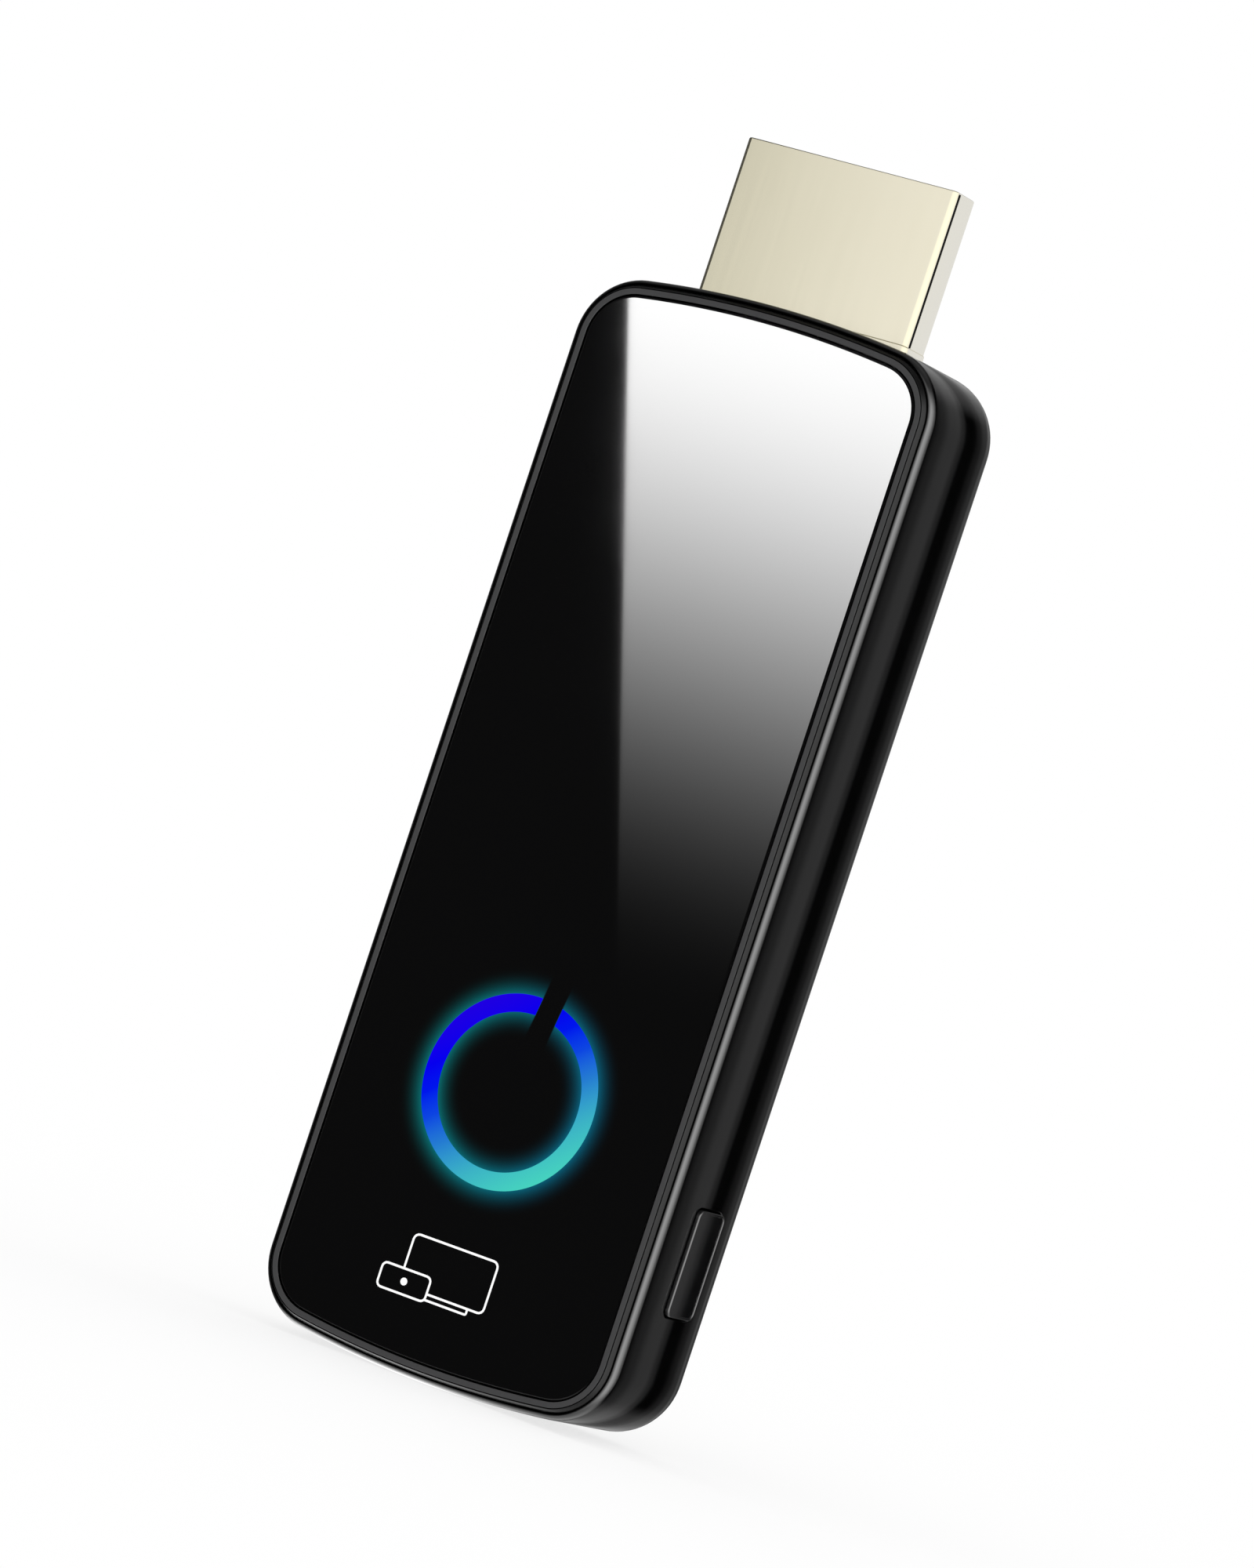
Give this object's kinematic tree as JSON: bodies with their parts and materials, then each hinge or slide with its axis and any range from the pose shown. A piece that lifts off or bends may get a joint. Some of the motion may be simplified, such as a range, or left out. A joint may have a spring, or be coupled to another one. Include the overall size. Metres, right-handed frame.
{
  "type": "streaming media player",
  "caption": "Slim streaming media player that hangs on a display's video input by its end plug, with a glossy front panel, a light ring and a side push button.",
  "frame": {"origin": "on the video plug's axis, level with the crown of the casing's plug end", "axes": "+Z out of the casing along the plug, -Y out of the front panel, +X out of the side wall with the button"},
  "size_m": [0.0239, 0.0102, 0.0729],
  "materials": {
    "housing_plastic": "satin",
    "bezel_plastic": "satin",
    "panel_gloss": "polished",
    "panel_tape": "matte",
    "icon_print": "satin",
    "ring_light": "glowing",
    "white_plastic": "matte",
    "lamp_chip": "satin",
    "button_plastic": "satin",
    "switch_plastic": "matte",
    "spring_steel": "satin",
    "board_laminate": "satin",
    "screw_steel": "satin",
    "plug_gold": "satin",
    "black_insulator": "matte",
    "contact_gold": "polished",
    "inlet_steel": "satin",
    "chip_epoxy": "matte",
    "thermal_pad": "matte",
    "spreader_metal": "satin",
    "shield_metal": "satin",
    "ferrite": "matte",
    "ceramic_tan": "satin",
    "ceramic_dark": "satin",
    "ceramic_white": "satin",
    "label_film": "matte"
  },
  "bodies": {
    "casing": {"rear_housing": "housing_plastic", "front_bezel": "bezel_plastic", "front_panel": "panel_gloss", "panel_adhesive": "panel_tape", "panel_icon": "icon_print", "light_guide": "ring_light", "light_shroud": "white_plastic", "ring_leds": "lamp_chip", "switch_body": "switch_plastic", "switch_dome": "spring_steel", "switch_cover": "spring_steel", "main_board": "board_laminate", "board_screws": "screw_steel", "plug_shell": "plug_gold", "plug_insulator": "black_insulator", "plug_contacts": "contact_gold", "inlet_shell": "inlet_steel", "inlet_tongue": "black_insulator", "inlet_contacts": "contact_gold", "processor": "chip_epoxy", "processor_pad": "thermal_pad", "heat_spreader": "spreader_metal", "memory_chip": "chip_epoxy", "flash_chip": "chip_epoxy", "radio_chip": "chip_epoxy", "crystal": "shield_metal", "shield_frame": "shield_metal", "shield_lid": "shield_metal", "power_regulator": "chip_epoxy", "power_inductors": "ferrite", "chip_capacitors": "ceramic_tan", "chip_resistors": "ceramic_dark", "chip_antennas": "ceramic_white", "rear_label": "label_film"},
    "button": {"side_button": "button_plastic", "switch_plunger": "switch_plastic"}
  },
  "joints": [
    {"name": "button_press", "type": "slide", "parent": "casing", "child": "button", "axis": [-1, 0, 0], "range_m": [0, 0.00025], "stiffness_N_per_m": 1500}
  ]
}
